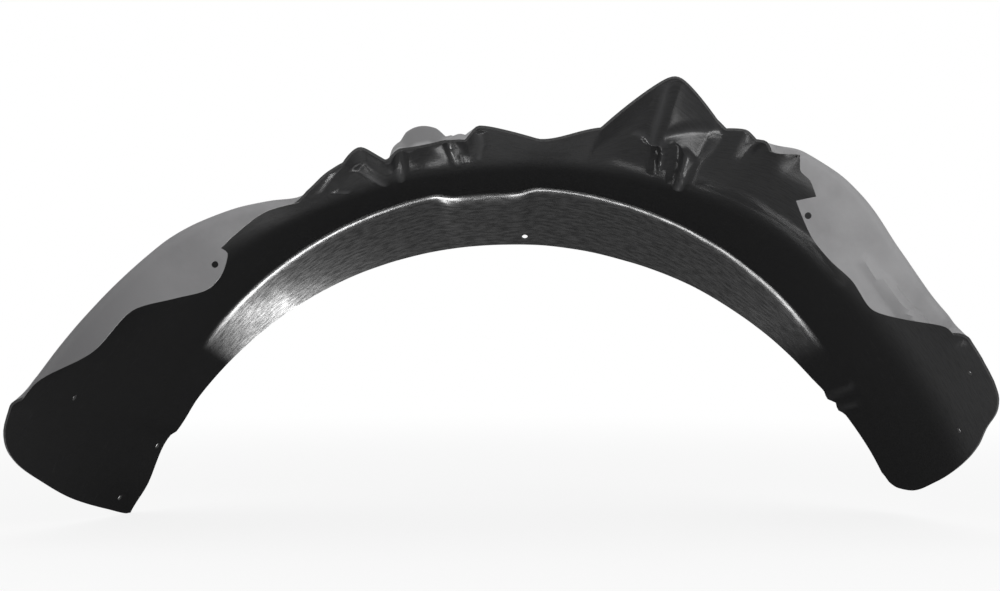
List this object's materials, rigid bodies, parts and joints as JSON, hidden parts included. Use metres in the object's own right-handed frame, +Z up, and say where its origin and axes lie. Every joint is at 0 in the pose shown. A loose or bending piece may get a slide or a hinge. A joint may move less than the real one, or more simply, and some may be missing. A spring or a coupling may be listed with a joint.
{
  "type": "wheel arch liner",
  "caption": "Vacuum-formed black plastic wheel arch liner: arched tread with a fender-side wall, turned-in engine-side flanges, pleated crown edge and flat end panels with screw holes.",
  "frame": {"origin": "centre of the screw hole in the fender lip at the crown, in the middle of the sheet", "axes": "+X to the right as seen from the engine side, +Y along the wheel axis towards the fender, +Z up"},
  "size_m": [0.7427, 0.2566, 0.3487],
  "materials": {
    "liner_sheet": "semi-gloss black sheet with a dulled grey outer face"
  },
  "bodies": {
    "root": {"arch_liner": "liner_sheet"}
  },
  "joints": []
}
